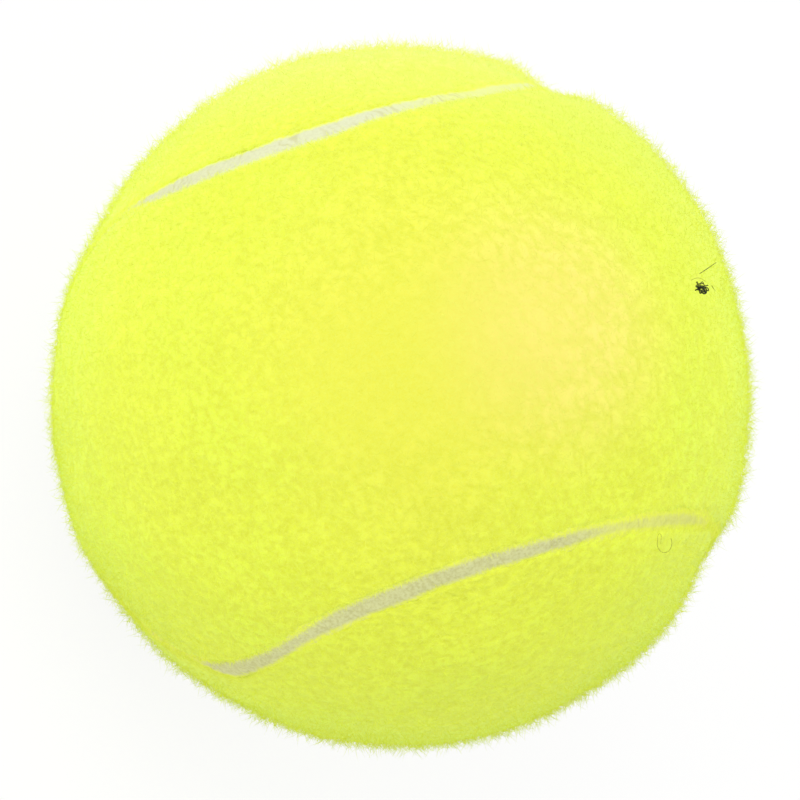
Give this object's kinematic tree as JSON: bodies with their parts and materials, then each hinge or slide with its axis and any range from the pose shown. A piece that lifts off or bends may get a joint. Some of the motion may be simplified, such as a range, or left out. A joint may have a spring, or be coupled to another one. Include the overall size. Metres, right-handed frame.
{
  "type": "tennis ball",
  "caption": "Round felt-covered tennis ball: crosswise felt panels with a recessed rubber seam over a hollow pressurised rubber core.",
  "frame": {"origin": "centre of the ball", "axes": "+Z through the middle of felt panel A's waist and -Z through the middle of panel B's; panel A's lobes lie over -X and +X, panel B's over -Y and +Y"},
  "size_m": [0.066, 0.066, 0.066],
  "materials": {
    "core_rubber": "matt moulded",
    "joint_cement": "semi-matt",
    "backing_cement": "matt",
    "felt": "raised nap",
    "seam_rubber": "matt"
  },
  "bodies": {
    "root": {"core_half_upper": "core_rubber", "core_half_lower": "core_rubber", "core_joint_cement": "joint_cement", "panel_a_backing_cement": "backing_cement", "panel_b_backing_cement": "backing_cement", "felt_panel_a": "felt", "felt_panel_b": "felt", "seam_cement": "seam_rubber"}
  },
  "joints": []
}
